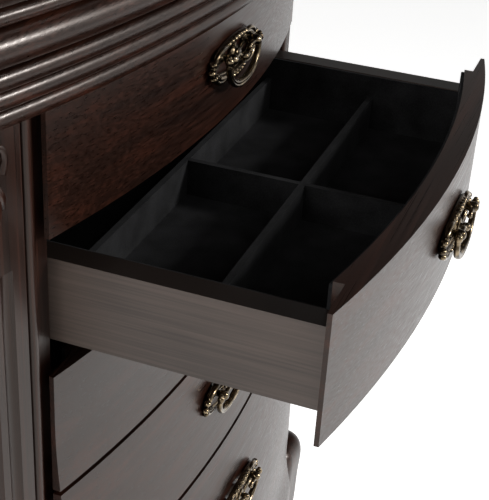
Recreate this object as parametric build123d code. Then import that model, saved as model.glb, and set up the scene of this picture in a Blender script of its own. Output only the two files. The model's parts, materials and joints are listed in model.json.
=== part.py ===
from build123d import *
from math import atan, cos, degrees, pi, radians, sin, sqrt
import os

# Jewelry armoire: a bow-front chest of five drawers on cabriole legs, with a lift-up lid over a
# lined tray and a tall necklace compartment behind a hinged door on each side.
# Millimetres. X is to the right, Y to the rear, Z up. While it is modelled, Y = 0 is the back plane
# of the closed drawer fronts and Z = 0 is the floor. Everything is moved to the middle of its depth
# when it is written.

# ---- driving dimensions: drawer fronts ----
front_w = 310.0          # width of every drawer front
bow = 17.5               # how far the middle of a front stands out from its ends
end_strip = 2.2          # thickness of a front at its two ends
front_t = 12.0           # thickness of a front between its curved faces
small_front_h = 64.5     # the four upper fronts
deep_front_h = 180.5     # the bottom front
reveal = 2.5             # gap between fronts
swell = 22.0             # how far the lower fronts swell forward
swell_from = 229.5       # depth below the top of the case where the swell begins
swell_run = 210.0        # height over which it reaches its full size
flare = 6.0              # further forward at the foot of the deep drawer
flare_from = 467.5       # depth below the top of the case where the flare begins
flare_run = 44.0

# ---- drawer boxes ----
overlay = 11.1           # how far a front overlaps the box at each side
side_t = 12.6            # box side
box_back_t = 10.0
box_bottom_t = 4.0
box_len = 200.0          # from the back plane of the front to the rear of the box
top_lip = 13.5           # the front stands this much above its box
bottom_lip = 9.4         # and hangs this much below it
bottom_recess = 2.0      # box bottom board above the lower edge of the sides
felt_t = 1.5
lining_gap = 0.5         # between the lining of a front and the rail behind it
divider_t = 3.2
divider_drop = 14.0      # dividers are this much lower than the box sides
row_pitch = 65.0         # front-to-back size of a compartment
open_by = 121.7          # the second drawer stands open by this much

# ---- case ----
frame_back = 4.9         # the face frame stands this far behind the back of the fronts
box_gap = 1.0            # side clearance of a drawer box
wall_t = 12.0            # partition beside the drawers
stile_d = 19.0
bead_r = 3.0
door_gap = 3.5           # between the face frame and a side door
side_room = 51.1         # from a partition's outer face to the outer face of the door beside it
behind_box = 32.0        # free depth behind a closed drawer box
back_t = 8.0
runner_h = 9.0
runner_w = 12.0
runner_gap = 0.5
rail_d = 18.0
board_t = 12.0
deck_t = 6.0
gap = 1.0                # general clearance between fixed boards and moving ones
crown_gap = 0.6          # between the top drawer front and the crown over it

# ---- base and legs ----
leg_h = 342.0            # floor to the underside of the base rail
base_h = 28.0
shoulder_h = 46.0        # the leg blocks rise this much above the base rail, beside the deep drawer
base_proud = 2.5         # the base rail stands this much in front of the lowest drawer
block_front = 6.0        # a leg block stands this far in front of the back plane of the fronts
apron_h = 34.0
glide_h = 3.0
glide_r = 11.0

# ---- crown and lid ----
crown_over = 16.0        # overhang of the lowest reed of the crown
reed_h = 7.8
reed_count = 3
reed_round = 0.42        # share of a reed's height taken by the rounding of each edge
reed_step = 1.5          # each reed stands this much beyond the one below
lid_gap = 0.5
lid_h = 44.5
lid_ovolo_h = 15.0       # big round member at the bottom of the lid
lid_neck_h = 7.5         # hollow above it
lid_over = 5.5           # lid edge beyond the top reed
lid_ovolo_in = 2.0       # the big round stands this much behind the lid edge
lid_neck_in = 8.0        # and the hollow this much
lid_round = 6.0
lid_rim = 30.0           # width of the solid rim round the mirror
lid_board_t = 10.0
mirror_t = 3.0

# ---- side doors ----
door_t = 10.0
pilaster_d = 36.0        # depth of the pilaster block on the front edge of a door
pilaster_back = 3.0      # its face stands this far behind the line of the bow
flute_r = 4.0
flute_count = 3
door_clear = 2.5         # above and below a door
field_margin = 32.0
field_depth = 2.5
hook_count = 6

# ---- drawer pulls ----
plate_w = 74.0
plate_h = 27.0
plate_t = 3.0
boss_r = 6.0             # round boss in the middle of a plate
boss_out = 4.6
post_span = 37.0
post_r = 3.0
post_out = 10.5
pin_r = 1.5
pin_fit = 0.05
bail_r = 1.9
knuckle_gap = 0.5        # between a post and the bail beside it
bail_drop = 18.5
bail_lift = 4.0          # bail pivots this much above the middle of the plate
pull_lift = {1: 0.0, 2: 0.0, 3: 0.0, 4: 0.0, 5: 45.0}    # above the middle of a front

# ---- hinges ----
barrel_r = 2.8
barrel_gap = 0.4         # between a barrel and the faces it turns beside
leaf_t = 1.2
hinge_h = 42.0

# ---- worked out ----
half = front_w / 2
bow_r = (half ** 2 + bow ** 2) / (2 * bow)
bow_cy = bow_r - bow - end_strip
box_half = half - overlay
box_in = box_half - side_t
opening_half = box_half + box_gap
wall_out = opening_half + wall_t
case_half = wall_out + side_room
case_back = box_len + behind_box
pilaster_in = wall_out + 2 * bead_r + door_gap - 1.0
rear_y = case_back + back_t
base_top = leg_h + base_h
block_top = base_top + shoulder_h
fronts = {}
z = base_top + reveal
for n in (5, 4, 3, 2, 1):
    h = deep_front_h if n == 5 else small_front_h
    fronts[n] = (z, z + h)
    z = z + h + reveal
crown_z = fronts[1][1] + crown_gap
crown_h = reed_h * reed_count
lid_z = crown_z + crown_h + lid_gap
top_z = lid_z + lid_h
swell_top = top_z - swell_from
flare_top = top_z - flare_from
deck_z = fronts[1][1] - top_lip + runner_gap + 2.0
door_z = (block_top + door_clear, crown_z - door_clear)
crown_r = bow_r + crown_over
hinge_y = case_back - gap / 2
hinge_x = case_half + barrel_r + barrel_gap
lid_axis_y = rear_y + barrel_r + barrel_gap


def swell_at(level):
    """How far a front stands forward of the plain bow at a height."""
    t = min(1.0, max(0.0, (swell_top - level) / swell_run))
    foot = min(1.0, max(0.0, (flare_top - level) / flare_run))
    return swell * (1 - cos(pi * t)) / 2 + flare * (1 - cos(pi * foot)) / 2


def bow_y(x, radius, forward=0.0):
    """Y of a bowed line at x. The line may stand forward of the plain bow."""
    return bow_cy - sqrt(radius ** 2 - x ** 2) - forward


def bow_edge(reach, radius, forward=0.0):
    """The bowed line from -reach to reach."""
    side = bow_y(reach, radius, forward)
    return ThreePointArc((-reach, side), (0, bow_y(0, radius, forward)), (reach, side))


def bowed_face(reach, radius, back, forward=0.0):
    """A flat shape with a bowed front edge and a straight back."""
    side = bow_y(reach, radius, forward)
    rest = Polyline((reach, side), (reach, back), (-reach, back), (-reach, side))
    return make_face([bow_edge(reach, radius, forward), rest])


def bowed_board(reach, radius, back, z0, z1, forward=0.0):
    """A board with a bowed front edge, standing from z0 to z1."""
    return extrude(Pos(0, 0, z0) * bowed_face(reach, radius, back, forward), z1 - z0)


def block(x0, x1, y0, y1, z0, z1):
    """A plain board between two corners."""
    size = (x1 - x0, y1 - y0, z1 - z0)
    return Pos((x0 + x1) / 2, (y0 + y1) / 2, (z0 + z1) / 2) * Box(*size)


def both_sides(part):
    """A part and its mirror image on the other side of the case."""
    return [part, mirror(part, Plane.YZ)]


def rod(x, y, z0, z1, r):
    """An upright round bar."""
    return Pos(x, y, (z0 + z1) / 2) * Cylinder(r, z1 - z0)


# ---- drawers ----
def front_panel(n):
    """A bowed drawer front: thin end strips over the face frame, a thick middle between the sides."""
    z0, z1 = fronts[n]
    inner_r = bow_r - front_t
    step = bow_y(box_in, inner_r)

    def section(level):
        ahead = swell_at(level)
        side = bow_y(half, bow_r, ahead)
        right = Polyline((half, side), (half, 0), (box_in, 0), (box_in, step))
        left = Polyline((-box_in, step), (-box_in, 0), (-half, 0), (-half, side))
        edges = [bow_edge(half, bow_r, ahead), right, bow_edge(box_in, inner_r), left]
        return Pos(0, 0, level) * make_face(edges)

    if swell_at(z0) == 0:
        return extrude(section(z0), z1 - z0)
    steps = max(4, round((z1 - z0) / 15))
    levels = [z0 + (z1 - z0) * k / steps for k in range(steps + 1)]
    return loft([section(level) for level in levels])


def drawer_box(n):
    """Two sides, a back and a bottom board that fits against the curved back of the front."""
    z0, z1 = box_levels(n)
    sides = both_sides(block(box_in, box_half, 0, box_len, z0, z1))
    back = block(-box_in, box_in, box_len - box_back_t, box_len, z0, z1)
    floor_z = z0 + bottom_recess
    floor = bowed_board(box_in, bow_r - front_t, box_len - box_back_t, floor_z, floor_z + box_bottom_t)
    return sides + [back, floor]


def box_levels(n):
    """Lower and upper edges of a drawer box."""
    return fronts[n][0] + bottom_lip, fronts[n][1] - top_lip


def felt_floor(n):
    """Height of the lined floor of a drawer."""
    return box_levels(n)[0] + bottom_recess + box_bottom_t + felt_t


def drawer_lining(n):
    """Felt over the floor and the four walls. It climbs higher on the back of the front."""
    back = box_len - box_back_t
    lining_r = bow_r - front_t
    floor_z = felt_floor(n)
    side_top = box_levels(n)[1] - 0.6
    front_top = fronts[n][1] - 1.5
    tub = bowed_board(box_in, lining_r, back, floor_z - felt_t, side_top)
    hollow = bowed_board(box_in - felt_t, lining_r - felt_t, back - felt_t, floor_z, front_top)
    climb = bowed_board(box_in, lining_r, step_back(), side_top, front_top)
    return tub + climb - hollow


def step_back():
    """Y of the inner corner where a front meets the box sides."""
    return bow_y(box_in, bow_r - front_t) + felt_t


def drawer_dividers(n):
    """Two long boards from side to side, and short ones along the middle of the first two rows."""
    z0, z1 = felt_floor(n), box_levels(n)[1] - divider_drop
    start = bow_y(0, bow_r - front_t - felt_t)
    rows = [start + row_pitch * k for k in (1, 2)]
    reach = box_in - felt_t
    t = divider_t / 2
    boards = [block(-reach, reach, y - t, y + t, z0, z1) for y in rows]
    boards.append(block(-t, t, rows[0] + t, rows[1] - t, z0, z1))
    boards.append(bowed_board(t, bow_r - front_t - felt_t, rows[0] - t, z0, z1))
    return boards


# ---- drawer pulls ----
def pull_place(n):
    """Where a pull sits on its front, tilted to lie on the swell."""
    z0, z1 = fronts[n]
    level = (z0 + z1) / 2 + pull_lift[n]
    lean = degrees(atan((swell_at(level - 1) - swell_at(level + 1)) / 2))
    face = bow_y(0, bow_r, swell_at(level))
    return Pos(0, face, level) * Rot(-lean, 0, 0)


def pull_plate():
    """A shaped plate with two drilled posts. Local Y = 0 is the face of the drawer front."""
    arc_r = bow_r
    outline = Ellipse(plate_w / 2, plate_h / 2)
    stamp = extrude(Plane.XZ * outline, plate_t * 3, both=True)
    ring = Pos(0, arc_r, 0) * (Cylinder(arc_r + plate_t, plate_h + 2) - Cylinder(arc_r, plate_h + 4))
    part = stamp & ring
    part = part + Pos(0, -boss_out / 2 - 0.2, 0) * Rot(90, 0, 0) * Cylinder(boss_r, boss_out - 0.4)
    for side in (-1, 1):
        x = side * post_span / 2
        post = Pos(x, -post_out / 2 - 0.2, bail_lift) * Rot(90, 0, 0) * Cylinder(post_r, post_out - 0.4)
        part = part + post
    for side in (-1, 1):
        x = side * post_span / 2
        hole = Pos(x, -post_out + post_r, bail_lift) * Rot(0, 90, 0) * Cylinder(pin_r + pin_fit, 4 * post_r)
        part = part - hole
    return part


def bail():
    """A drop handle: a bent bar with a pin at each end that turns in the posts."""
    y = -post_out + post_r
    outer = post_span / 2 + post_r + bail_r + knuckle_gap
    top = bail_lift
    low = bail_lift - bail_drop
    route = [(-outer, y, top), (-outer, y, low), (outer, y, low), (outer, y, top)]
    path = FilletPolyline(*route, radius=bail_drop * 0.6)
    bar = sweep(Plane(origin=path @ 0, z_dir=path % 0) * Circle(bail_r), path=path)
    part = bar
    for side in (-1, 1):
        knuckle = Pos(side * outer, y, top) * Sphere(bail_r * 1.15)
        pin_len = bail_r + knuckle_gap + 2 * post_r
        pin = Pos(side * (outer - pin_len / 2), y, top) * Rot(0, 90, 0) * Cylinder(pin_r, pin_len)
        part = part + knuckle + pin
    return part


# ---- case ----
def face_stile():
    """Right-hand upright of the face frame, with a bead on its outer corner."""
    z0, z1 = base_top, crown_z
    post = block(opening_half, wall_out + bead_r, frame_back, frame_back + stile_d, z0, z1)
    return post + rod(wall_out + bead_r, frame_back + 0.1, z0, z1, bead_r)


def runner_top(n):
    return box_levels(n)[0] - runner_gap


def runners():
    """A strip under each side of every drawer box, screwed to the partitions."""
    made = []
    for n in fronts:
        z1 = runner_top(n)
        y0 = frame_back + stile_d
        strip = block(opening_half - runner_w, opening_half, y0, case_back - 4, z1 - runner_h, z1)
        made = made + both_sides(strip)
    return made


def front_rails():
    """Cross rails between the runners behind the fronts, and one over the top drawer."""
    y0 = frame_back + stile_d
    reach = opening_half - runner_w
    made = [block(-reach, reach, y0, y0 + rail_d, runner_top(n) - runner_h, runner_top(n)) for n in fronts]
    top_rail_z = fronts[1][1] - top_lip + gap
    top_rail_y = step_back() + lining_gap
    made.append(block(-opening_half, opening_half, top_rail_y, y0, top_rail_z, crown_z))
    return made


def crown():
    """A ring of reeds that follows the bow, open in the middle for the tray."""
    ring = None
    for k in range(reed_count):
        z0 = crown_z + k * reed_h
        out = crown_over + k * reed_step
        reed = bowed_board(case_half + out, bow_r + out, rear_y, z0, z0 + reed_h)
        reed = fillet(outer_edges(reed), reed_h * reed_round)
        ring = reed if ring is None else ring + reed
    hole = block(-opening_half, opening_half, frame_back + stile_d, case_back, crown_z - 1, lid_z)
    return ring - hole


def outer_edges(board):
    """Horizontal edges of a board along its bow and its two sides, not along its back."""
    flat = [e for e in board.edges() if abs(e.position_at(0).Z - e.position_at(1).Z) < 0.01]
    return [e for e in flat if (e @ 0.5).Y < rear_y - 1]


def lid():
    """A moulded board with a sunk underside for the mirror."""
    top_over = crown_over + reed_step * (reed_count - 1) + lid_over
    low = top_over - lid_ovolo_in
    neck_z = lid_z + lid_ovolo_h
    lower = bowed_board(case_half + low, bow_r + low, rear_y, lid_z, neck_z)
    lower = fillet(outer_edges(lower), lid_round)
    cap_z = neck_z + lid_neck_h
    sunk = top_over - lid_neck_in
    neck = bowed_board(case_half + sunk, bow_r + sunk, rear_y, neck_z, cap_z)
    cap = bowed_board(case_half + top_over, bow_r + top_over, rear_y, cap_z, top_z)
    cap = fillet(outer_edges(cap), lid_round)
    inside = bowed_board(case_half - lid_rim + crown_over, bow_r - lid_rim, rear_y - lid_rim, lid_z, top_z - lid_board_t)
    return lower + neck + cap - inside


def lid_mirror():
    """Looking glass under the lid board."""
    z1 = top_z - lid_board_t
    edge = lid_rim + 4
    return bowed_board(case_half - edge + crown_over, bow_r - edge, rear_y - edge, z1 - mirror_t, z1)


def tray_lining():
    """Felt-lined tray under the lid."""
    z0 = deck_z + deck_t
    z1 = lid_z - lid_gap - 1.0
    y0, y1 = frame_back + stile_d, case_back
    tub = block(-opening_half, opening_half, y0, y1, z0, z1)
    hollow = block(-opening_half + felt_t, opening_half - felt_t, y0 + felt_t, y1 - felt_t, z0 + felt_t, z1 + 1)
    return tub - hollow


def ring_rolls():
    """Padded rolls side by side on the left of the tray, with slots between them for rings."""
    z0 = deck_z + deck_t + felt_t
    y0, y1 = frame_back + stile_d + felt_t, case_back - felt_t
    roll_r = 7.5
    count = 8
    pitch = (opening_half - felt_t) / count
    rolls = []
    for k in range(count):
        x = -opening_half + felt_t + pitch * (k + 0.5)
        body = Pos(x, (y0 + y1) / 2, z0 + roll_r) * Rot(90, 0, 0) * Cylinder(roll_r, y1 - y0 - 1)
        rolls.append(body)
    return rolls


def tray_dividers():
    """Boards that part the right half of the tray into four."""
    z0 = deck_z + deck_t + felt_t
    z1 = z0 + 22.0
    y0, y1 = frame_back + stile_d + felt_t, case_back - felt_t
    mid = (y0 + y1) / 2
    long_board = block(0, divider_t, y0, y1, z0, z1)
    x1 = opening_half - felt_t
    cross = block(divider_t, x1, mid - divider_t / 2, mid + divider_t / 2, z0, z1)
    centre = (divider_t + x1) / 2
    shorts = []
    for a, b in ((y0, mid - divider_t / 2), (mid + divider_t / 2, y1)):
        shorts.append(block(centre - divider_t / 2, centre + divider_t / 2, a, b, z0, z1))
    return [long_board, cross] + shorts


# ---- side doors ----
def door_panel():
    """Right-hand door board with a sunk field on its outer face."""
    z0, z1 = door_z
    y0 = frame_back + pilaster_d
    board = block(case_half - door_t, case_half, y0, case_back - gap, z0, z1)
    m = field_margin
    field = block(case_half - field_depth, case_half + 1, y0 + m, case_back - gap - m, z0 + m, z1 - m)
    return board - field


def pilaster():
    """Upright block on the front edge of the right-hand door, with flutes down its face."""
    z0, z1 = door_z
    x0, x1 = pilaster_in, case_half
    face_in, face_out = bow_y(x0, bow_r) + pilaster_back, bow_y(x1, bow_r) + pilaster_back
    y1 = frame_back + pilaster_d
    plan = make_face(Polyline((x0, face_in), (x1, face_out), (x1, y1), (x0, y1), close=True))
    part = extrude(Pos(0, 0, z0) * plan, z1 - z0)
    for k in range(flute_count):
        t = (k + 1) / (flute_count + 1)
        x = x0 + (x1 - x0) * t
        y = face_in + (face_out - face_in) * t
        part = part - rod(x, y - flute_r * 0.45, z0 + 60, z1 - 70, flute_r)
    return part


def hook_rail():
    """Wooden rail inside the right-hand door, high up."""
    z1 = door_z[1] - 22
    return block(case_half - door_t - 10, case_half - door_t, frame_back + pilaster_d + 12, case_back - 18, z1 - 18, z1)


def hooks():
    """Small brass hooks in a row along the rail: a stem, a drop and a raised tip."""
    y0, y1 = frame_back + pilaster_d + 26, case_back - 32
    level = door_z[1] - 22 - 9
    x = case_half - door_t - 10
    made = []
    for k in range(hook_count):
        y = y0 + (y1 - y0) * k / (hook_count - 1)
        route = [(x, y, level), (x - 7, y, level), (x - 7, y, level - 9), (x - 14, y, level - 9), (x - 14, y, level - 2)]
        path = FilletPolyline(*route, radius=2.8)
        made.append(sweep(Plane(origin=path @ 0, z_dir=path % 0) * Circle(1.1), path=path))
    return made


# ---- hinges ----
def door_hinge_levels():
    z0, z1 = door_z
    return (z0 + 55, z1 - 55 - hinge_h)


def door_fixed_leaves():
    """Leaves on the edges of the back panel, with the outer barrels and the pins."""
    made = []
    for z0 in door_hinge_levels():
        third = hinge_h / 3
        leaf = block(case_half, case_half + leaf_t, case_back + 1, rear_y, z0, z0 + hinge_h)
        part = leaf + rod(hinge_x, hinge_y, z0, z0 + hinge_h, barrel_r)
        part = part + block(case_half, hinge_x, hinge_y, hinge_y + 2.2, z0, z0 + third - 0.2)
        part = part + block(case_half, hinge_x, hinge_y, hinge_y + 2.2, z0 + 2 * third + 0.2, z0 + hinge_h)
        sleeve = rod(hinge_x, hinge_y, z0 + third, z0 + 2 * third, barrel_r + 1)
        pin = rod(hinge_x, hinge_y, z0, z0 + hinge_h, pin_r)
        made.append(part - sleeve + pin)
    return made


def door_moving_leaves():
    """Leaves on the door face, each with the middle barrel."""
    made = []
    for z0 in door_hinge_levels():
        third = hinge_h / 3
        a, b = z0 + third + 0.2, z0 + 2 * third - 0.2
        leaf = block(case_half, case_half + leaf_t, case_back - 26, case_back - 4, z0, z0 + hinge_h)
        arm = block(case_half, case_half + leaf_t, case_back - 5, hinge_y, a, b)
        barrel = rod(hinge_x, hinge_y, a, b, barrel_r)
        hole = rod(hinge_x, hinge_y, a - 1, b + 1, pin_r + pin_fit)
        made.append(leaf + arm + barrel - hole)
    return made


def lid_hinge_places():
    return (-case_half * 0.6, case_half * 0.6)


def along_x(x0, x1, y, level, r):
    """A round bar lying along X."""
    return Pos((x0 + x1) / 2, y, level) * Rot(0, 90, 0) * Cylinder(r, x1 - x0)


def lid_fixed_leaves():
    """Leaves on the back panel, with the outer barrels and the pins of the lid hinges."""
    made = []
    for x in lid_hinge_places():
        a, b, third = x - hinge_h / 2, x + hinge_h / 2, hinge_h / 3
        leaf = block(a, b, rear_y, rear_y + leaf_t, lid_z - 28, lid_z - 3)
        barrel = along_x(a, b, lid_axis_y, lid_z, barrel_r)
        arms = block(a, b, rear_y, rear_y + leaf_t, lid_z - 4, lid_z)
        part = leaf + arms + barrel - along_x(a + third, b - third, lid_axis_y, lid_z, barrel_r + 1.2)
        part = part - block(a + third, b - third, rear_y - 1, rear_y + leaf_t + 1, lid_z - 3.5, lid_z + 1)
        made.append(part + along_x(a, b, lid_axis_y, lid_z, pin_r))
    return made


def lid_moving_leaves():
    """Leaves on the rear edge of the lid, each with the middle barrel."""
    made = []
    for x in lid_hinge_places():
        a, b, third = x - hinge_h / 2, x + hinge_h / 2, hinge_h / 3
        leaf = block(a, b, rear_y, rear_y + leaf_t, lid_z + 4, lid_z + 26)
        arm = block(a + third + 0.2, b - third - 0.2, rear_y, rear_y + leaf_t, lid_z, lid_z + 5)
        barrel = along_x(a + third + 0.2, b - third - 0.2, lid_axis_y, lid_z, barrel_r)
        hole = along_x(a, b, lid_axis_y, lid_z, pin_r + pin_fit)
        made.append(leaf + arm + barrel - hole)
    return made


# ---- base ----
def base_front_rail():
    """Moulded rail under the lowest drawer, with a scalloped apron below it."""
    ahead = swell + flare + base_proud
    back = frame_back + stile_d
    rail = bowed_board(wall_out, bow_r, back, leg_h, base_top, ahead)
    low = leg_h - apron_h
    apron = bowed_board(wall_out, bow_r, back, low, leg_h, ahead - 5)
    apron = apron - bowed_board(wall_out + 1, bow_r - front_t, back + 1, low - 1, leg_h, ahead - 5)
    for x, r in ((0, 62), (-half * 0.62, 34), (half * 0.62, 34)):
        apron = apron - Pos(x, 0, low - r * 0.62) * Rot(90, 0, 0) * Cylinder(r, 300)
    return rail + apron


def base_side_rails():
    """Rails between the front and rear legs, under the side compartments."""
    x0, x1 = case_half - 20, case_half
    return both_sides(block(x0, x1, block_back, rear_leg_y - rear_leg_w / 2, leg_h, block_top - board_t))


def smooth(level, keys, column):
    """A value that runs smoothly through a table of heights."""
    for k in range(len(keys) - 1):
        if level <= keys[k + 1][0]:
            break
    slopes = []
    for j in (k, k + 1):
        a, b = keys[max(j - 1, 0)], keys[min(j + 1, len(keys) - 1)]
        slopes.append((b[column] - a[column]) / (b[0] - a[0]))
    z0, z1, v0, v1 = keys[k][0], keys[k + 1][0], keys[k][column], keys[k + 1][column]
    h = z1 - z0
    t = (level - z0) / h
    ease = v0 * (2 * t ** 3 - 3 * t ** 2 + 1) + v1 * (3 * t ** 2 - 2 * t ** 3)
    return ease + h * slopes[0] * (t ** 3 - 2 * t ** 2 + t) + h * slopes[1] * (t ** 3 - t ** 2)


def cabriole_leg():
    """Right front leg: a full knee, a slim ankle and a pad foot, with a block beside the drawer."""
    # height, X and Y of the middle, width
    x = (wall_out + case_half) / 2
    keys = [
        (glide_h, x + 4, -3, 40),
        (leg_h * 0.05, x + 4, -3, 45),
        (leg_h * 0.10, x + 2, 1, 30),
        (leg_h * 0.17, x, 5, 23),
        (leg_h * 0.30, x - 1, 7, 22),
        (leg_h * 0.47, x - 1, 6, 25),
        (leg_h * 0.67, x + 1, 3, 31),
        (leg_h * 0.85, x + 3, 0, 37),
        (leg_h, x + 3.5, -1.6, 42),
        (block_top - 52, x + 3.5, -1.6, 43),
        (block_top - 38, x + 3.5, -1.6, 44.5),
        (block_top - 28, x + 3.5, -1.6, 45.8),
        (block_top - 21, x + 3.5, -1.6, 42.8),
        (block_top - 15, x + 3.5, -1.6, 35),
        (block_top - 12, x + 3.5, -1.6, 26),
    ]
    low, high = keys[0][0], keys[-1][0]
    slices = []
    count = 32
    for k in range(count + 1):
        level = low + (high - low) * k / count
        w = smooth(level, keys, 3)
        middle = Pos(smooth(level, keys, 1), smooth(level, keys, 2), level)
        slices.append(middle * RectangleRounded(w, w, w * 0.3))
    top = block(wall_out, case_half, -block_front, block_back, leg_h + 4, block_top)
    # room for the corner of the face frame and of the partition
    inner, outer = wall_out - 6, wall_out + 2 * bead_r + 0.3
    corner = block(inner, outer, frame_back - bead_r - 0.2, block_back + 1, base_top, block_top + 1)
    return loft(slices) + top - corner


block_back = frame_back + stile_d
rear_leg_w = 38.0
rear_leg_x = case_half - rear_leg_w / 2
rear_leg_y = case_back - rear_leg_w / 2


def rear_leg():
    """Right rear leg: a plain tapered post."""
    slices = []
    for level, width in ((glide_h, 24), (leg_h * 0.55, 29), (leg_h, rear_leg_w)):
        slices.append(Pos(rear_leg_x, rear_leg_y, level) * RectangleRounded(width, width, 4))
    w = rear_leg_w / 2
    top = block(wall_out, case_half, rear_leg_y - w, rear_leg_y + w, leg_h, block_top - board_t)
    return loft(slices) + top


def glides():
    """A round glide under every foot."""
    made = both_sides(rod((wall_out + case_half) / 2 + 4, -3, 0, glide_h, glide_r))
    return made + both_sides(rod(rear_leg_x, rear_leg_y, 0, glide_h, glide_r * 0.8))


def case_floors():
    """Boards under the drawers and under the two side compartments."""
    main = block(-wall_out, wall_out, block_back, case_back, base_top - board_t, base_top)
    sides = both_sides(block(wall_out, case_half, block_back, case_back, block_top - board_t, block_top))
    return [main] + sides


# ---- write ----
open_drawer = 2
front_reach = open_by + bow + end_strip + post_out
mid_y = (lid_axis_y + barrel_r - front_reach) / 2
home = Pos(0, -mid_y, 0)


def handed(shapes, hand):
    """The right-hand shapes, or their mirror images for the left."""
    group = shapes if isinstance(shapes, list) else [shapes]
    return group if hand == "right" else [mirror(s, Plane.YZ) for s in group]


def write(name, shape):
    """Writes one sub-part, moved so that the origin is under the middle of the whole."""
    solids = shape if isinstance(shape, list) else [shape]
    moved = [home * s for s in solids]
    part = moved[0] if len(moved) == 1 else Compound(children=moved)
    export_step(part, f"parts/{name}.step")


os.makedirs("parts", exist_ok=True)
for n in sorted(fronts):
    slide = Pos(0, -open_by if n == open_drawer else 0, 0)
    front = front_panel(n)
    write(f"drawer_{n}_front", slide * front)
    write(f"drawer_{n}_box", [slide * s for s in drawer_box(n)])
    write(f"drawer_{n}_lining", slide * drawer_lining(n))
    if n != 5:
        write(f"drawer_{n}_dividers", [slide * s for s in drawer_dividers(n)])
    write(f"drawer_{n}_pull_plate", slide * (pull_place(n) * pull_plate() - front))
    write(f"drawer_{n}_bail", slide * pull_place(n) * bail())
    pivot = slide * pull_place(n) * Pos(0, -post_out + post_r, bail_lift)
    print("bail pivot", n, pivot.position - Vector(0, mid_y, 0))

write("face_stiles", both_sides(face_stile()))
walls = block(opening_half, wall_out, frame_back + stile_d, case_back, base_top, crown_z)
write("partitions", both_sides(walls))
write("drawer_runners", runners())
write("front_rails", front_rails())
write("back_panel", block(-case_half, case_half, case_back, rear_y, base_top - board_t, crown_z))
write("case_floors", case_floors())
tray_deck = block(-opening_half, opening_half, frame_back + stile_d, case_back, deck_z, deck_z + deck_t)
write("tray_deck", tray_deck)
write("tray_lining", tray_lining())
write("ring_rolls", ring_rolls())
write("tray_dividers", tray_dividers())
write("crown", crown())
write("lid", lid())
write("lid_mirror", lid_mirror())
write("lid_hinge_case_leaves", lid_fixed_leaves())
write("lid_hinge_lid_leaves", lid_moving_leaves())
write("base_front_rail", base_front_rail())
write("base_side_rails", base_side_rails())
write("front_legs", both_sides(cabriole_leg()))
write("rear_legs", both_sides(rear_leg()))
write("foot_glides", glides())
write("door_hinge_case_leaves", [m for leaf in door_fixed_leaves() for m in both_sides(leaf)])
for hand in ("right", "left"):
    write(f"{hand}_door_panel", handed(door_panel(), hand))
    write(f"{hand}_door_pilaster", handed(pilaster(), hand))
    write(f"{hand}_hook_rail", handed(hook_rail(), hand))
    write(f"{hand}_necklace_hooks", handed(hooks(), hand))
    write(f"{hand}_door_hinge_leaves", handed(door_moving_leaves(), hand))

print("mid_y", mid_y, "door axis", hinge_x, hinge_y - mid_y, "lid axis", lid_axis_y - mid_y, lid_z)
print("case", case_half, case_back, "crown", crown_z, "top", top_z, "fronts", fronts)
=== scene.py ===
# %% [markdown]
# # A jewelry armoire, piece by piece
# The cabinet arrives as a finished frame: every board, hinge and drawer is already a mesh in metres, with
# the floor at Z = 0 and the front towards -Y. This lesson gives each of those pieces its real finish, and
# replaces the few that need finer work than plain boards: the reeded crown, the moulded lid, the cast
# drawer pulls and the padded ring rolls. A small carving is added to each pilaster. Nothing of the frame
# is moved, so all of it still slides and swings.

# %% Load the frame
import json
import math
import random

import bmesh
import bpy
from mathutils import Matrix, Vector


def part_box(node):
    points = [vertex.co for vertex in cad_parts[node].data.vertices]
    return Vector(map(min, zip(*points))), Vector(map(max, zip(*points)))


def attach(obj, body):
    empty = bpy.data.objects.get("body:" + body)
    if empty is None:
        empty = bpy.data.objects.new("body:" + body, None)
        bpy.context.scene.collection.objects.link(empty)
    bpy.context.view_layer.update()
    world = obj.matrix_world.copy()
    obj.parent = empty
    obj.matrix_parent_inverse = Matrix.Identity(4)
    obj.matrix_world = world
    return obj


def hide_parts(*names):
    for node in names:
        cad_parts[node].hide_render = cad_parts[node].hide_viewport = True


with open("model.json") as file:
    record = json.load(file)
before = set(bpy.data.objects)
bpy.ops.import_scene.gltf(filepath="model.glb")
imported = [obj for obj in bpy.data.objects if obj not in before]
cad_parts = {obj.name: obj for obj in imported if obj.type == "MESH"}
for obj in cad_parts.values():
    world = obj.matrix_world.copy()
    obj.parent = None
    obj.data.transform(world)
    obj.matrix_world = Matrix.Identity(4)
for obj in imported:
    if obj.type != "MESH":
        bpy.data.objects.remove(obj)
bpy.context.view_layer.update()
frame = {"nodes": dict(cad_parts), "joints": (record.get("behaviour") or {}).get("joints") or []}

nodes = frame["nodes"]

# %% [markdown]
# The camera stands to the left of the cabinet, a little above the open drawer, and looks down across it
# to the right. It is given by where it stands and by two directions, one forward and one to its right,
# because a slight roll is part of this view and a look-at target would lose it.

# %% Camera
camera_data = bpy.data.cameras.new("camera")
camera = bpy.data.objects.new("camera", camera_data)
bpy.context.scene.collection.objects.link(camera)
to_right = Vector((0.34913, -0.93535, 0.05685)).normalized()
forward = Vector((0.82328, 0.27720, -0.49535))
forward = (forward - forward.dot(to_right) * to_right).normalized()
up = to_right.cross(forward)
place = Vector((-0.5278, -0.26145, 0.998))
camera.matrix_world = Matrix((
    (to_right.x, up.x, -forward.x, place.x),
    (to_right.y, up.y, -forward.y, place.y),
    (to_right.z, up.z, -forward.z, place.z),
    (0, 0, 0, 1)))
camera_data.lens = 85.45
camera_data.shift_x = -0.011
camera_data.clip_start = 0.02
bpy.context.scene.camera = camera
print("camera looks along", [round(c, 3) for c in forward])

# %% [markdown]
# Colours are written as sRGB hex values, as a paint chart gives them. Blender works in linear light, so one
# function turns every one of them. A second function adds a shader node with its settings and its links in
# one call, which keeps each finish short enough to read as a recipe.

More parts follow.
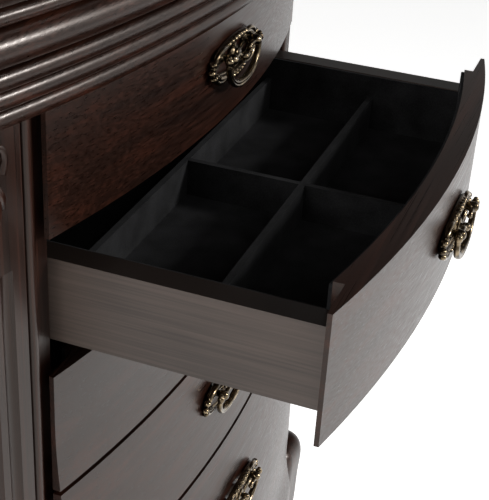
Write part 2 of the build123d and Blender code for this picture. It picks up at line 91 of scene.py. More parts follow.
# %% Colours and nodes
def to_linear(hex_colour):
    """Linear red, green, blue and 1 from an sRGB hex colour such as #3a1a10."""
    channels = []
    for i in (1, 3, 5):
        c = int(hex_colour[i:i + 2], 16) / 255
        channels.append(c / 12.92 if c <= 0.04045 else ((c + 0.055) / 1.055) ** 2.4)
    return (*channels, 1.0)


def add(tree, kind, inputs=None, **settings):
    """Adds a node. inputs maps a socket to a value or to another node's output socket."""
    made = tree.nodes.new(kind)
    for key, value in settings.items():
        setattr(made, key, value)
    for key, value in (inputs or {}).items():
        if isinstance(value, bpy.types.NodeSocket):
            tree.links.new(value, made.inputs[key])
        else:
            made.inputs[key].default_value = value
    return made


def new_material(name):
    """An empty node material and its tree."""
    material = bpy.data.materials.new(name)
    material.use_nodes = True
    material.node_tree.nodes.clear()
    return material, material.node_tree


def finish_material(tree, shader):
    """Sends a shader to the surface."""
    add(tree, "ShaderNodeOutputMaterial", {"Surface": shader.outputs[0]})


print("middle grey is", round(to_linear("#808080")[0], 3), "in linear light")

# %% [markdown]
# Dark lacquer shows the room more than it shows itself, so the light is mostly a pale room: a world that is
# bright at eye level, a white floor that glows a little, and four soft lights that put slow highlights along
# the mouldings. The walls are pale and the ceiling is in shade, so boards seen from above stay dark.

# %% Pale room
world = bpy.data.worlds.new("pale room")
bpy.context.scene.world = world
world.use_nodes = True
tree = world.node_tree
tree.nodes.clear()
sky = add(tree, "ShaderNodeTexCoord")
rise = add(tree, "ShaderNodeSeparateXYZ", {"Vector": sky.outputs["Generated"]})
shade = add(tree, "ShaderNodeValToRGB", {"Fac": rise.outputs["Z"]})
shade.color_ramp.elements[0].position = 0.12
shade.color_ramp.elements[0].color = to_linear("#fbf9f7")
shade.color_ramp.elements[1].position = 0.36
shade.color_ramp.elements[1].color = to_linear("#343231")
walls = add(tree, "ShaderNodeBackground", {"Color": shade.outputs[0], "Strength": 0.9})
add(tree, "ShaderNodeOutputWorld", {"Surface": walls.outputs[0]})

print("room is pale to", shade.color_ramp.elements[0].position, "and in shade above")

# %% White floor
floor_half = 9.0
corners = [(x * floor_half, y * floor_half, 0) for x, y in ((-1, -1), (1, -1), (1, 1), (-1, 1))]
floor_mesh = bpy.data.meshes.new("floor")
floor_mesh.from_pydata(corners, [], [(0, 1, 2, 3)])
floor = bpy.data.objects.new("floor", floor_mesh)
bpy.context.scene.collection.objects.link(floor)
floor_material, tree = new_material("matt white board")
finish_material(tree, add(tree, "ShaderNodeBsdfPrincipled", {
    "Base Color": to_linear("#f6f6f5"), "Roughness": 0.8,
    "Emission Color": to_linear("#ffffff"), "Emission Strength": 0.72}))
floor_mesh.materials.append(floor_material)
print("floor is", 2 * floor_half, "m wide")


# %% Soft lights
def soft_light(name, place, target, size, watts):
    """A wide square area light aimed at a point."""
    data = bpy.data.lights.new(name, "AREA")
    data.shape = "SQUARE"
    data.size = size
    data.energy = watts
    lamp = bpy.data.objects.new(name, data)
    lamp.location = place
    lamp.rotation_euler = (Vector(target) - Vector(place)).to_track_quat("-Z", "Y").to_euler()
    bpy.context.scene.collection.objects.link(lamp)


soft_light("key", (-0.6, -1.9, 2.6), (0, 0, 0.7), 1.2, 9)
soft_light("front right", (0.72, -2.1, 1.62), (-0.15, -0.05, 0.84), 0.4, 46)
soft_light("left fill", (-2.2, 0.3, 1.5), (0, 0, 0.7), 0.9, 16)
soft_light("behind", (-0.9, 0.9, 2.6), (0, 0, 0.7), 0.5, 12)
bpy.context.scene.view_settings.view_transform = "Standard"

# %% [markdown]
# The case is cherry veneer under a nearly black stain and a satin lacquer. The eye reads three layers:
# long fine grain a little lighter and darker than the stain, short pores, and a clear coat that mirrors
# the pale room at low angles. A scanned board could be wrapped round each piece, but noise that is drawn out
# along one axis gives the same grain with no seams. It runs along each board, so one material is made for
# each direction.

# %% Grain
def every(width):
    """The noise scale whose marks are about this many millimetres wide."""
    return 1000 / width


def grain_coordinates(tree, axis, across, along):
    """Object coordinates for marks of a width across the grain and a length along it, in millimetres."""
    scale = [every(across)] * 3
    scale["XYZ".index(axis)] = every(along)
    where = add(tree, "ShaderNodeTexCoord")
    return add(tree, "ShaderNodeMapping", {"Vector": where.outputs["Object"], "Scale": scale}).outputs[0]


print("pores 0.4 mm wide need a noise scale of", every(0.4))


# %% Stained cherry
def stained_cherry(axis):
    """Dark stained cherry with its grain along one axis."""
    material, tree = new_material("stained cherry, grain along " + axis)
    # slow figure about 7 mm wide, fine streaks about 0.7 mm wide, pores 0.4 mm wide and 11 mm long
    figure = add(tree, "ShaderNodeTexNoise", {
        "Vector": grain_coordinates(tree, axis, 7.143, 400), "Scale": 1.0, "Detail": 3.0, "Distortion": 0.4})
    streak = add(tree, "ShaderNodeTexNoise", {
        "Vector": grain_coordinates(tree, axis, 0.6667, 111.1), "Scale": 1.0, "Detail": 3.0})
    pores = add(tree, "ShaderNodeTexNoise", {
        "Vector": grain_coordinates(tree, axis, 0.4, 11.11), "Scale": 1.0, "Detail": 2.0})
    mixed = add(tree, "ShaderNodeMath", {0: figure.outputs[0], 1: streak.outputs[0]}, operation="ADD")
    tone = add(tree, "ShaderNodeMapRange", {"Value": mixed.outputs[0], "From Min": 0.78, "From Max": 1.28})
    ramp = add(tree, "ShaderNodeValToRGB", {"Fac": tone.outputs[0]})
    ramp.color_ramp.elements[0].color = to_linear("#130704")
    ramp.color_ramp.elements[1].color = to_linear("#30160d")
    middle = ramp.color_ramp.elements.new(0.5)
    middle.color = to_linear("#1d0d07")
    rough = add(tree, "ShaderNodeMapRange", {
        "Value": streak.outputs[0], "From Min": 0.3, "From Max": 0.7, "To Min": 0.26, "To Max": 0.40})
    relief = add(tree, "ShaderNodeMath", {0: pores.outputs[0], 1: streak.outputs[0]}, operation="ADD")
    bump = add(tree, "ShaderNodeBump", {"Height": relief.outputs[0], "Strength": 0.09, "Distance": 0.0002})
    shader = add(tree, "ShaderNodeBsdfPrincipled", {
        "Base Color": ramp.outputs[0], "Roughness": rough.outputs[0], "Normal": bump.outputs[0],
        "IOR": 1.4, "Specular Tint": to_linear("#fff0e6"), "Coat Weight": 0.06, "Coat Roughness": 0.16})
    finish_material(tree, shader)
    return material


cherry = {axis: stained_cherry(axis) for axis in "XYZ"}
print("cherry made for", list(cherry))

# %% [markdown]
# The drawer boxes are thinner boards wrapped in a grey-brown printed foil: flatter and greyer than the
# fronts, with only a faint grain. The foil stops at the arris, so the upper edge of a board shows its black
# stain, and the arris between them gets a pale painted highlight. A separate strip for each edge would be
# more work for the same look: here the way that the surface faces picks the colour, and a box never tilts.

# %% Grey-brown foil
def foil_board(axis):
    """Printed foil with its grain along one axis, black on the upper edges, with a painted highlight on the
    arrises.
    """
    material, tree = new_material("grey-brown foil, grain along " + axis)
    # printed streaks about 1 mm wide and 70 mm long, over clouds of tone about 30 mm wide
    streak = add(tree, "ShaderNodeTexNoise", {
        "Vector": grain_coordinates(tree, axis, 1.111, 71.43), "Scale": 1.0, "Detail": 4.0})
    cloud = add(tree, "ShaderNodeTexNoise", {
        "Vector": grain_coordinates(tree, axis, 33.33, 83.33), "Scale": 1.0, "Detail": 2.0})
    mixed = add(tree, "ShaderNodeMath", {0: streak.outputs[0], 1: cloud.outputs[0]}, operation="ADD")
    tone = add(tree, "ShaderNodeMapRange", {"Value": mixed.outputs[0], "From Min": 0.7, "From Max": 1.3})
    ramp = add(tree, "ShaderNodeValToRGB", {"Fac": tone.outputs[0]})
    ramp.color_ramp.elements[0].color = to_linear("#3a312c")
    ramp.color_ramp.elements[1].color = to_linear("#52463f")
    bump = add(tree, "ShaderNodeBump", {"Height": streak.outputs[0], "Strength": 0.06, "Distance": 0.0002})
    facing = add(tree, "ShaderNodeNewGeometry")
    upward = add(tree, "ShaderNodeSeparateXYZ", {"Vector": facing.outputs["Normal"]})
    # the painted arris highlight starts where the surface begins to lean upward, and the black upper edge
    # where it is nearly level
    edge = add(tree, "ShaderNodeValToRGB", {"Fac": upward.outputs["Z"]})
    edge.color_ramp.elements[0].position = 0.10
    edge.color_ramp.elements[0].color = to_linear("#000000")
    edge.color_ramp.elements[1].position = 0.25
    edge.color_ramp.elements[1].color = to_linear("#ffffff")
    top = add(tree, "ShaderNodeMath", {0: upward.outputs["Z"], 1: 0.8}, operation="GREATER_THAN")
    # painted highlight: the arris takes a pale colour where the surface leans upward
    painted_arris_highlight = add(tree, "ShaderNodeMix", {
        0: edge.outputs[0], 6: ramp.outputs[0], 7: to_linear("#8d857e")}, data_type="RGBA")
    colour = add(tree, "ShaderNodeMix", {
        0: top.outputs[0], 6: painted_arris_highlight.outputs[2], 7: to_linear("#17110e")}, data_type="RGBA")
    shader = add(tree, "ShaderNodeBsdfPrincipled", {
        "Base Color": colour.outputs[2], "Roughness": 0.4, "Normal": bump.outputs[0], "IOR": 1.42})
    finish_material(tree, shader)
    return material


foil = {axis: foil_board(axis) for axis in "XY"}
print("foil made for", list(foil))

# %% [markdown]
# Black felt lines every drawer. Pressed fibre has no gloss at all, but it greys where it is seen at a low
# angle, which the sheen gives; short fibres show as a fine uneven nap. Real hairs would be millions of
# strands in each drawer, so the nap is a colour and a bump instead, with slow patches where it is pressed.

# %% Black felt
def black_felt():
    """Pressed felt: nearly black, uneven and without gloss."""
    material, tree = new_material("black pressed felt")
    where = add(tree, "ShaderNodeTexCoord")
    # fibres are finer than can show, so the nap is drawn about 0.7 mm wide
    nap = add(tree, "ShaderNodeTexNoise", {
        "Vector": where.outputs["Object"], "Scale": every(0.7143), "Detail": 3.0, "Roughness": 0.7})
    # pressed patches about 17 mm wide
    patch = add(tree, "ShaderNodeTexNoise", {
        "Vector": where.outputs["Object"], "Scale": every(16.67), "Detail": 2.0})
    mixed = add(tree, "ShaderNodeMath", {0: nap.outputs[0], 1: patch.outputs[0]}, operation="ADD")
    tone = add(tree, "ShaderNodeMapRange", {"Value": mixed.outputs[0], "From Min": 0.7, "From Max": 1.3})
    ramp = add(tree, "ShaderNodeValToRGB", {"Fac": tone.outputs[0]})
    ramp.color_ramp.elements[0].color = to_linear("#0b0b0b")
    ramp.color_ramp.elements[1].color = to_linear("#262627")
    bump = add(tree, "ShaderNodeBump", {"Height": nap.outputs[0], "Strength": 0.5, "Distance": 0.0004})
    shader = add(tree, "ShaderNodeBsdfPrincipled", {
        "Base Color": ramp.outputs[0], "Roughness": 0.95, "Normal": bump.outputs[0],
        "Specular IOR Level": 0.15,
        "Sheen Weight": 0.08, "Sheen Roughness": 0.4, "Sheen Tint": to_linear("#8c8c90")})
    finish_material(tree, shader)
    return material


felt = black_felt()
print("made:", felt.name)

# %% [markdown]
# The pulls and hinges are cast brass, darkened with a patina and rubbed bright again on what stands proud.
# The eye sees dull gold on the rims and black in the hollows. Painting that by hand would fit one casting
# only; here the shader feels how deep a spot lies among its neighbours and leaves the patina there.

# %% Antique brass
def antique_brass():
    """Cast brass, mottled, with dark patina in its hollows."""
    material, tree = new_material("antique brass")
    where = add(tree, "ShaderNodeTexCoord")
    # mottling about 4 mm wide
    mottle = add(tree, "ShaderNodeTexNoise", {
        "Vector": where.outputs["Object"], "Scale": every(3.846), "Detail": 4.0})
    ramp = add(tree, "ShaderNodeValToRGB", {"Fac": mottle.outputs[0]})
    ramp.color_ramp.elements[0].position = 0.35
    ramp.color_ramp.elements[0].color = to_linear("#3c3327")
    ramp.color_ramp.elements[1].position = 0.7
    ramp.color_ramp.elements[1].color = to_linear("#94836a")
    # patina stays in the hollows: ambient occlusion over 4 mm darkens them
    hollow = add(tree, "ShaderNodeAmbientOcclusion", {"Distance": 0.004}, samples=8)
    bare = add(tree, "ShaderNodeMapRange", {
        "Value": hollow.outputs["AO"], "From Min": 0.25, "From Max": 0.85})
    patina = add(tree, "ShaderNodeMix", {
        0: bare.outputs[0], 6: to_linear("#17130c"), 7: ramp.outputs[0]}, data_type="RGBA")
    bump = add(tree, "ShaderNodeBump", {"Height": mottle.outputs[0], "Strength": 0.15, "Distance": 0.0002})
    shader = add(tree, "ShaderNodeBsdfPrincipled", {
        "Base Color": patina.outputs[2], "Metallic": 1.0, "Roughness": 0.22, "Normal": bump.outputs[0]})
    finish_material(tree, shader)
    return material


brass = antique_brass()
print("made:", brass.name)

# %% [markdown]
# Last, the looking glass under the lid and the nylon glides under the feet. Silvered glass is a mirror that
# fingers have smeared a little; nylon is dull and black. Both are one colour, so only their roughness varies.

# %% Looking glass and nylon
def plain_finish(name, colour, low, high, metallic=0.0, smear_width=3.333):
    """A finish whose roughness varies between two values, in smears of a width in millimetres."""
    material, tree = new_material(name)
    where = add(tree, "ShaderNodeTexCoord")
    smear = add(tree, "ShaderNodeTexNoise", {
        "Vector": where.outputs["Object"], "Scale": every(smear_width), "Detail": 3.0})
    rough = add(tree, "ShaderNodeMapRange", {
        "Value": smear.outputs[0], "From Min": 0.3, "From Max": 0.7, "To Min": low, "To Max": high})
    shader = add(tree, "ShaderNodeBsdfPrincipled", {
        "Base Color": to_linear(colour), "Roughness": rough.outputs[0], "Metallic": metallic})
    finish_material(tree, shader)
    return material


looking_glass = plain_finish("silvered glass", "#eef1f1", 0.01, 0.04, metallic=1.0, smear_width=50.0)
nylon = plain_finish("black nylon", "#101011", 0.4, 0.6)
print("made:", looking_glass.name, "and", nylon.name)

# %% [markdown]
# Some pieces need finer work than the frame's plain boards. They are built as meshes here from a few
# strokes: balls, tubes drawn along a smooth line, and mouldings swept round the bow. Sculpting could give
# the same shapes, but strokes with sizes can be measured against the real piece and changed one at a time.

# %% Finishing a mesh
MM = 0.001


def finish_mesh(name, bm, material, body, node, sharp=40):
    """Turns a bmesh into a shown piece that stands for a frame node."""
    bmesh.ops.remove_doubles(bm, verts=bm.verts, dist=1e-7)
    bmesh.ops.recalc_face_normals(bm, faces=bm.faces)
    mesh = bpy.data.meshes.new(name)
    bm.to_mesh(mesh)
    bm.free()
    mesh.shade_smooth()
    mesh.set_sharp_from_angle(angle=math.radians(sharp))
    mesh.materials.append(material)
    piece = bpy.data.objects.new(name, mesh)
    bpy.context.scene.collection.objects.link(piece)
    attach(piece, body)
    if node:
        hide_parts(node)
    return piece


print("one millimetre is", MM, "m")


# %% Balls and skins
def ball(bm, centre, radii, segments=16):
    """A round or flattened ball."""
    matrix = Matrix.Translation(centre) @ Matrix.Diagonal((*radii, 1.0))
    bmesh.ops.create_uvsphere(
        bm, u_segments=segments, v_segments=segments // 2 + 2, radius=1.0, matrix=matrix)


def skin(bm, rings, closed=False, capped=True):
    """Joins rings of equal length, one to the next, and caps the two ends or closes the last to the first."""
    pairs = list(zip(rings, rings[1:])) + ([(rings[-1], rings[0])] if closed else [])
    for low, high in pairs:
        count = len(low)
        for j in range(count):
            bm.faces.new((low[j], low[(j + 1) % count], high[(j + 1) % count], high[j]))
    if capped and not closed:
        bm.faces.new(list(reversed(rings[0])))
        bm.faces.new(rings[-1])


print("ball and skin ready")


# %% Lines and tubes
GROOVE_WIDTH = 0.42    # of the groove along a tube, in radians round it


def smooth_line(points, steps=8):
    """A smooth line through a few points."""
    points = [Vector(p) for p in points]
    ends = [2 * points[0] - points[1]] + points + [2 * points[-1] - points[-2]]
    line = []
    for a, b, c, d in zip(ends, ends[1:], ends[2:], ends[3:]):
        for k in range(steps):
            t = k / steps
            line.append(0.5 * (2 * b + (c - a) * t + (2 * a - 5 * b + 4 * c - d) * t * t
                               + (3 * b - a - 3 * c + d) * t ** 3))
    line.append(points[-1])
    return line


def tube(bm, line, radius, sides=12, groove=0.0, closed=False, front=Vector((0, -1, 0))):
    """A tube along a line. radius is one number or one per point; a groove is cut along its front."""
    count = len(line)
    rings = []
    for k, point in enumerate(line):
        before = line[k - 1] if k or closed else point
        after = line[(k + 1) % count] if k < count - 1 or closed else point
        along = (after - before).normalized()
        side = along.cross(front).normalized()
        out = side.cross(along).normalized()
        r = radius[k] if isinstance(radius, (list, tuple)) else radius
        ring = []
        for j in range(sides):
            angle = 2 * math.pi * j / sides
            away = min(abs(angle), 2 * math.pi - abs(angle))
            reach = r * (1 - groove * math.exp(-(away / GROOVE_WIDTH) ** 2))
            ring.append(bm.verts.new(point + reach * (math.cos(angle) * out + math.sin(angle) * side)))
        rings.append(ring)
    skin(bm, rings, closed)


print("lines and tubes ready")

# %% [markdown]
# The crown and the edge of the lid are mouldings that follow the bow of the front. A real shaper cuts them
# with one profile, and so does this: the profile is a stack of full rounds, and each of its points draws
# the same bowed outline at its own overhang. Fine steps keep the long highlights unbroken.

# %% Mouldings
case_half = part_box("back_panel")[1].x
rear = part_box("back_panel")[1].y
front_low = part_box("drawer_1_front")[0]
bow_rise = 17.5 * MM    # of a drawer front's middle over its ends
bow_r = (front_low.x ** 2 + bow_rise ** 2) / (2 * bow_rise)
bow_centre = front_low.y + bow_r
bow_steps = 96


def outline(over, z, radius=None, back=None):
    """The bowed outline at one overhang: along the bow, then back along the sides."""
    reach = case_half + over
    radius = bow_r + over if radius is None else radius
    back = rear if back is None else back
    xs = [reach * (2 * k / bow_steps - 1) for k in range(bow_steps + 1)]
    loop = [Vector((x, bow_centre - math.sqrt(radius ** 2 - x ** 2), z)) for x in xs]
    return loop + [Vector((reach, back, z)), Vector((-reach, back, z))]


def round_member(over, z0, z1, bulge, steps=14):
    """Profile points of a full round between two heights."""
    made = []
    for k in range(steps + 1):
        t = math.pi * k / steps
        made.append((over + bulge * math.sin(t), z0 + (z1 - z0) * (1 - math.cos(t)) / 2))
    return made


def stack_loops(bm, loops, capped):
    """Joins closed loops of equal length into one skin."""
    skin(bm, [[bm.verts.new(p) for p in loop] for loop in loops], capped=capped)


print("the bow has a radius of", round(bow_r / MM), "mm")

# %% [markdown]
# The crown is three reeds, one above the other, each a little further out than the one below. It is a frame
# with the tray inside it, so the skin runs out along the reeds, over the top, and down the opening again.

# %% Crown
crown_low, crown_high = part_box("crown")
well_low, well_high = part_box("tray_lining")
reeds = 3
reed_over, reed_step, reed_bulge, reed_gap = 13.2 * MM, 1.5 * MM, 2.8 * MM, 0.15 * MM
pitch = (crown_high.z - crown_low.z) / reeds


def well(z):
    """The rectangular opening over the tray, with as many points as an outline."""
    xs = [well_low.x + (well_high.x - well_low.x) * k / bow_steps for k in range(bow_steps + 1)]
    loop = [Vector((x, well_low.y, z)) for x in xs]
    return loop + [Vector((well_high.x, well_high.y, z)), Vector((well_low.x, well_high.y, z))]


bm = bmesh.new()
profile = []
for k in range(reeds):
    z0 = crown_low.z + k * pitch
    profile += round_member(reed_over + k * reed_step, z0 + reed_gap, z0 + pitch - reed_gap, reed_bulge)
loops = [well(crown_low.z), outline(reed_over - 1 * MM, crown_low.z)]
loops += [outline(over, z) for over, z in profile]
loops += [outline(reed_over + 2 * MM, crown_high.z), well(crown_high.z), well(crown_low.z)]
stack_loops(bm, loops, capped=False)
crown = finish_mesh("reeded_crown", bm, cherry["X"], "case", "crown")
print("crown:", len(crown.data.polygons), "faces")

# %% [markdown]
# The lid's edge is a thick round, a narrow one above it, and a thick one again that runs into the flat top.
# Underneath, a shallow hollow takes the looking glass, so the skin starts at the bottom of that hollow.

# %% Lid
lid_low, lid_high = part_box("lid")
glass_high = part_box("lid_mirror")[1]
flat_over = 14.5 * MM
ovolo_over, ovolo_low, ovolo_high = 15.5 * MM, lid_low.z + 0.3 * MM, lid_low.z + 14.8 * MM
bead_over, bead_low, bead_high = 16.5 * MM, lid_low.z + 15.2 * MM, lid_low.z + 21.9 * MM
cap_over, cap_low, cap_high = 17.5 * MM, lid_low.z + 22.4 * MM, lid_high.z - 1.5 * MM
thick_bulge, bead_bulge = 7.0 * MM, 3.4 * MM
profile = round_member(ovolo_over, ovolo_low, ovolo_high, thick_bulge, 20)
profile += round_member(bead_over, bead_low, bead_high, bead_bulge)
profile += round_member(cap_over, cap_low, cap_high, thick_bulge, 24)[:-1]
profile += [(bead_over, lid_high.z - 0.5 * MM), (flat_over, lid_high.z)]
hollow_over = glass_high.x - case_half + 4 * MM
hollow_r, hollow_rear = bow_r - 30 * MM, rear - 30 * MM
loops = [outline(hollow_over, z, hollow_r, hollow_rear) for z in (glass_high.z, lid_low.z)]
loops += [outline(flat_over, lid_low.z)] + [outline(over, z) for over, z in profile]
bm = bmesh.new()
stack_loops(bm, loops, capped=True)
lid = finish_mesh("moulded_lid", bm, cherry["X"], "lid", "lid")
print("lid:", len(lid.data.polygons), "faces")

# %% [markdown]
# Each pull is a casting that hangs on its drawer front. Every one is made at the origin and then placed by
# the frame: the joint of its bail says where the turning line is, and the way that the frame's plain bail
# hangs from it says how far a swelling front leans there.

# %% Where a pull sits
posts_x, pivot_out, pivot_up = 18.5 * MM, 7.5 * MM, 4.0 * MM
upright_fronts = 2      # the fronts above the swell stand upright


def pull_matrix(n):
    """Where a pull sits: on the face of its drawer front, leaning with the swell."""
    joint = next(j for j in frame["joints"] if j["child"] == f"bail_{n}")
    x, y, z = joint["pos_m"]
    hung_low, hung_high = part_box(f"drawer_{n}_bail")
    lean = math.atan2((hung_low.y + hung_high.y) / 2 - y, z - (hung_low.z + hung_high.z) / 2)
    return Matrix.Translation((x, y, z)) @ Matrix.Rotation(-lean if n > upright_fronts else 0.0, 4, "X")


print("a bail turns", pivot_out / MM, "mm in front of the face")


# %% Turned posts
def turned(bm, x, z, stations, sides=20):
    """A turned post standing out of the face: stations are (distance out, radius)."""
    rings = []
    for out, r in stations:
        ring = []
        for j in range(sides):
            angle = 2 * math.pi * j / sides
            ring.append(bm.verts.new((x + r * math.cos(angle), -out, z + r * math.sin(angle))))
        rings.append(ring)
    skin(bm, rings)


print("posts are", 2 * posts_x / MM, "mm apart")


# %% [markdown]
# The plate is an open oval frame with a row of pearls along its middle, scrolls beside them, lobed leaves at
# its ends, and a boss between two turned posts. It bends with the bow of the front that it lies on.

# %% Cast plate
def plate_mesh():
    """The casting, with Y = 0 on the face of the drawer and Z = 0 at its middle."""
    bm = bmesh.new()
    wide, tall = 31.5 * MM, 10.4 * MM

    def on_oval(angle, out, grow=0.0):
        x = (wide + grow) * math.cos(angle)
        return Vector((x, -out + x * x / (2 * bow_r), (tall + grow) * math.sin(angle)))

    steps = 72
    ring = [on_oval(2 * math.pi * k / steps, 1.9 * MM) for k in range(steps)]
    tube(bm, ring, 1.9 * MM, 12, closed=True)
    inner = [on_oval(2 * math.pi * k / steps, 1.2 * MM, -2.4 * MM) for k in range(steps)]
    tube(bm, inner, 0.9 * MM, 8, closed=True)
    for side in (1, -1):
        for k in range(-3, 4):
            r = (2.0 - 0.16 * abs(k)) * MM
            spot = on_oval(math.pi / 2 + k * 0.135, 3.0 * MM, 0.6 * MM)
            ball(bm, (spot.x, spot.y, side * spot.z), (r, r, r))
        for end in (1, -1):
            # C-scroll from the pearls to the leaf: angles round the oval, and how far outside it
            path = [on_oval(a, 3.0 * MM, g * MM) for a, g in (
                (1.08, 0.2), (0.92, 1.9), (0.72, 2.5), (0.52, 2.0), (0.40, 0.4), (0.50, -1.6), (0.66, -1.4))]
            path = [Vector((end * p.x, p.y, side * p.z)) for p in path]
            line = smooth_line(path, 6)
            radii = [(0.8 + 0.7 * math.sin(math.pi * k / (len(line) - 1))) * MM for k in range(len(line))]
            tube(bm, line, radii, 10)
            ball(bm, line[-1], (1.5 * MM, 1.3 * MM, 1.5 * MM), 12)
    for end in (1, -1):
        for rise, reach, length in ((0.0, 34.0, 2.9), (4.2, 32.2, 2.5), (-4.2, 32.2, 2.5)):
            ball(bm, (end * reach * MM, -2.2 * MM, rise * MM), (length * MM, 2.1 * MM, 1.9 * MM))
        arched = [(x, 4.0 * math.exp(-((x - posts_x / MM) / 6) ** 2)) for x in range(4, 31)]
        bar = [Vector((end * x * MM, -1.4 * MM, z * MM)) for x, z in arched]
        tube(bm, bar, 1.25 * MM, 10)
        turned(bm, end * posts_x, pivot_up, [(r * MM, q * MM) for r, q in (
            (0.2, 4.6), (1.2, 4.6), (1.8, 3.4), (2.8, 2.3), (4.4, 2.2), (5.2, 2.9), (6.4, 3.1), (8.4, 3.1),
            (9.4, 2.5), (10.2, 1.2))])
    turned(bm, 0, 0, [(r * MM, q * MM) for r, q in (
        (0.2, 6.0), (1.4, 6.2), (2.4, 5.6), (2.8, 4.2), (3.4, 3.9), (4.2, 4.2), (4.7, 3.4), (5.0, 1.6),
        (6.2, 1.4))])
    ball(bm, (0, -7.4 * MM, 0), (2.5 * MM,) * 3)
    for side in (1, -1):
        spoke = [Vector((0, -1.4 * MM, side * r * MM)) for r in (4.5, 7, 9.8)]
        tube(bm, spoke, 1.3 * MM, 10, front=Vector((1, 0, 0)))
    return bm


print("plate ready")


# %% [markdown]
# The bail is a grooved bar whose ends swell into knobs and curl in towards the boss, along the line that it
# turns about.

# %% Drop bail
def bail_mesh():
    """The drop handle, with Y = 0 and Z = 0 on the line that it turns about."""
    bm = bmesh.new()
    knob_x = 24.0
    half = [(0, -18.2), (8, -17.6), (15, -15.2), (20.4, -10.8), (23.4, -5.2), (knob_x, 0.0)]
    points = [(-x, 0, z) for x, z in reversed(half)] + [(x, 0, z) for x, z in half[1:]]
    line = smooth_line([(x * MM, y, z * MM) for x, y, z in points], 9)
    radii = [(1.55 + 0.75 * math.sin(math.pi * k / (len(line) - 1)) ** 2) * MM for k in range(len(line))]
    tube(bm, line, radii, 24, groove=0.35)
    for end in (1, -1):
        ball(bm, (end * knob_x * MM, 0, 0.2 * MM), (2.1 * MM, 2.2 * MM, 2.7 * MM), 20)
        ball(bm, (end * knob_x * MM, 0, 2.6 * MM), (1.3 * MM,) * 3, 12)
        pin = [Vector((end * x * MM, 0, 0)) for x in (knob_x, 22.0)]
        tube(bm, pin, 1.4 * MM, 12)
        curl = ((15.3, 0), (12.5, 0.5), (9.8, 0.4), (7.6, -0.7))
        arm = smooth_line([(end * x * MM, 0, z * MM) for x, z in curl], 6)
        tube(bm, arm, [(1.35 - 0.3 * k / (len(arm) - 1)) * MM for k in range(len(arm))], 12)
        ball(bm, arm[-1], (1.5 * MM,) * 3, 12)
    return bm


print("bail ready")

# %% Hang the pulls
# the casting is a size smaller than the plain plate of the frame, across and up but not out
cast_size = Matrix.Diagonal((0.88, 1.0, 0.88, 1.0))
for n in range(1, 6):
    place_pull = pull_matrix(n) @ cast_size
    bm = plate_mesh()
    bm.transform(place_pull @ Matrix.Translation((0, pivot_out, -pivot_up)))
    plate = finish_mesh(f"cast_pull_{n}", bm, brass, f"drawer_{n}", f"drawer_{n}_pull_plate", 50)
    bm = bail_mesh()
    bm.transform(place_pull)
    bail = finish_mesh(f"cast_bail_{n}", bm, brass, f"bail_{n}", f"drawer_{n}_bail", 50)
print("pulls: 5 plates and 5 bails,", len(plate.data.polygons), "faces each")

# %% [markdown]
# A small carving sits at the head of each pilaster, above its flutes: two scrolls over a fan of leaves
# that hang to a point. It is carved in the solid on the real block; here it is laid on its face, which
# leaves the flutes below it untouched and swings with the same door.

# %% Pilaster carvings
pilaster_slope = 0.28         # the face of a pilaster falls back by this much of its width
carving_drop = 10 * MM        # head of the carving below the top of the pilaster


def leaf(bm, root, tip, width, depth):
    """A plump leaf from its root to its tip."""
    line = smooth_line([root, root.lerp(tip, 0.5) + Vector((0, -depth * 0.5, 0)), tip], 8)
    count = len(line) - 1
    swell = [0.22 + 0.78 * math.sin(math.pi * (0.12 + 0.86 * k / count)) for k in range(count + 1)]
    tube(bm, line, [width * w for w in swell], 12)


for hand, sign in (("right", 1), ("left", -1)):
    low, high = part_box(f"{hand}_door_pilaster")
    middle = (low.x + high.x) / 2
    inner = low.x if sign > 0 else high.x
    slope = sign * pilaster_slope
    face = low.y + abs(middle - inner) * pilaster_slope
    top = high.z - carving_drop

    def on_face(x, z, out=1.5):
        """A point on the pilaster's slanted face, in millimetres from the head of the carving."""
        return Vector((middle + x * MM, face + slope * x * MM - out * MM, top + z * MM))

    bm = bmesh.new()
    for side in (1, -1):
        turns = [(9.0, -14.0), (10.5, -8.0), (8.5, -3.0), (4.5, -3.0), (3.2, -6.5), (5.4, -9.0), (7.2, -7.0)]
        line = smooth_line([on_face(side * x, z, 2.0) for x, z in turns], 6)
        tube(bm, line, [(2.0 - 0.9 * k / (len(line) - 1)) * MM for k in range(len(line))], 12)
        ball(bm, on_face(side * 6.0, -7.0, 2.6), (1.8 * MM,) * 3)
        for x, z, wide in ((10.5, -30.0, 2.5), (6.5, -38.0, 2.6)):
            leaf(bm, on_face(side * 2.0, -14.0), on_face(side * x, z, 1.0), wide * MM, 3 * MM)
    leaf(bm, on_face(0, -12.0), on_face(0, -50.0, 0.8), 3.0 * MM, 4 * MM)
    ball(bm, on_face(0, -10.5, 2.4), (2.6 * MM,) * 3)
    carving = finish_mesh(f"{hand}_pilaster_carving", bm, cherry["Z"], f"{hand}_door", None, 60)
print("two pilaster carvings")

# %% [markdown]
# Rings are pressed into slots between padded rolls. A roll is felt sewn round foam: round and full, drawn
# in a little at its ends, where the felt is gathered and tucked, with shallow creases running in from there.
# The foam holds a roll to its shape, so rings of points with a formula for their radius give it.

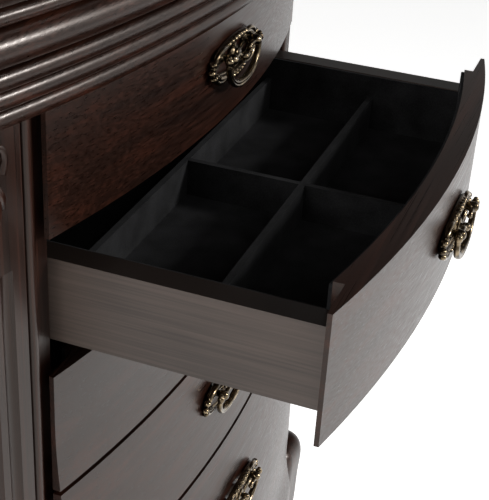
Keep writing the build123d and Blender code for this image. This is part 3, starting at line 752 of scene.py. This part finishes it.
# %% Padded ring rolls
random.seed(7)
roll_low, roll_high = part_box("ring_rolls")
roll_count = 8
roll_r = (roll_high.z - roll_low.z) / 2
roll_pitch = (roll_high.x - roll_low.x - 2 * roll_r) / (roll_count - 1)
around, along = 32, 40
end_gap = 0.3 * MM
bm = bmesh.new()
for k in range(roll_count):
    x = roll_low.x + roll_r + k * roll_pitch
    lean = random.uniform(-0.3, 0.3) * MM
    rings = []
    for i in range(along + 1):
        t = i / along
        y = roll_low.y + end_gap + t * (roll_high.y - roll_low.y - 2 * end_gap)
        end = min(t, 1 - t) * along
        r = roll_r * (0.96 * (1 - math.exp(-(end + 0.35) / 1.1)) + 0.03 * math.sin(k + t * 7) ** 2)
        ring = []
        for j in range(around):
            angle = 2 * math.pi * j / around
            crease = 1 - 0.05 * math.exp(-end / 2.5) * math.cos(8 * angle + k)
            px = x + lean * math.sin(math.pi * t) + r * crease * math.cos(angle)
            ring.append(bm.verts.new((px, y, roll_low.z + roll_r + r * crease * math.sin(angle))))
        rings.append(ring)
    skin(bm, rings)
rolls = finish_mesh("padded_ring_rolls", bm, felt, "case", "ring_rolls", 60)
print("ring rolls:", roll_count, "of", round(2 * roll_r / MM, 1), "mm")

# %% [markdown]
# Sawn boards never keep a knife edge: sandpaper and lacquer round every arris, and that thin rounding is
# what catches the light. A bevel of about a millimetre on the boards gives it.

# %% Eased edges
def ease(name, width):
    """Rounds the sharp edges of a frame piece by a width in millimetres."""
    eased = nodes[name].modifiers.new("eased edges", "BEVEL")
    eased.width = width * MM
    eased.segments = 3
    eased.limit_method = "ANGLE"
    eased.angle_limit = math.radians(50)
    eased.harden_normals = False


for n in range(1, 6):
    ease(f"drawer_{n}_front", 1.1)
    ease(f"drawer_{n}_box", 0.8)
    if n != 5:
        ease(f"drawer_{n}_dividers", 0.6)
for name in ("face_stiles", "base_front_rail", "front_legs", "right_door_pilaster", "left_door_pilaster",
             "right_door_panel", "left_door_panel"):
    ease(name, 1.0)
print("edges eased")

# %% [markdown]
# Every frame piece now gets its finish. On the real cabinet the grain runs along each board, so a wooden
# piece takes the finish whose direction is that of its longest board.

# %% Finishes for the frame
def paint(name, material):
    """Gives a frame piece one finish all over."""
    mesh = nodes[name].data
    mesh.materials.clear()
    mesh.materials.append(material)


for n in range(1, 6):
    paint(f"drawer_{n}_front", cherry["X"])
    paint(f"drawer_{n}_box", foil["Y"])
    paint(f"drawer_{n}_lining", felt)
    if n != 5:
        paint(f"drawer_{n}_dividers", felt)
for name in ("base_front_rail", "front_rails", "case_floors"):
    paint(name, cherry["X"])
for name in ("face_stiles", "partitions", "back_panel", "front_legs", "rear_legs", "right_door_panel",
             "left_door_panel", "right_door_pilaster", "left_door_pilaster"):
    paint(name, cherry["Z"])
for name in ("base_side_rails", "drawer_runners", "right_hook_rail", "left_hook_rail"):
    paint(name, cherry["Y"])
paint("tray_deck", foil["X"])
for name in ("tray_lining", "tray_dividers"):
    paint(name, felt)
paint("lid_mirror", looking_glass)
paint("foot_glides", nylon)
for name in ("lid_hinge_case_leaves", "lid_hinge_lid_leaves", "door_hinge_case_leaves",
             "right_door_hinge_leaves", "left_door_hinge_leaves", "right_necklace_hooks",
             "left_necklace_hooks"):
    paint(name, brass)
print("finishes on", len(nodes), "frame pieces")
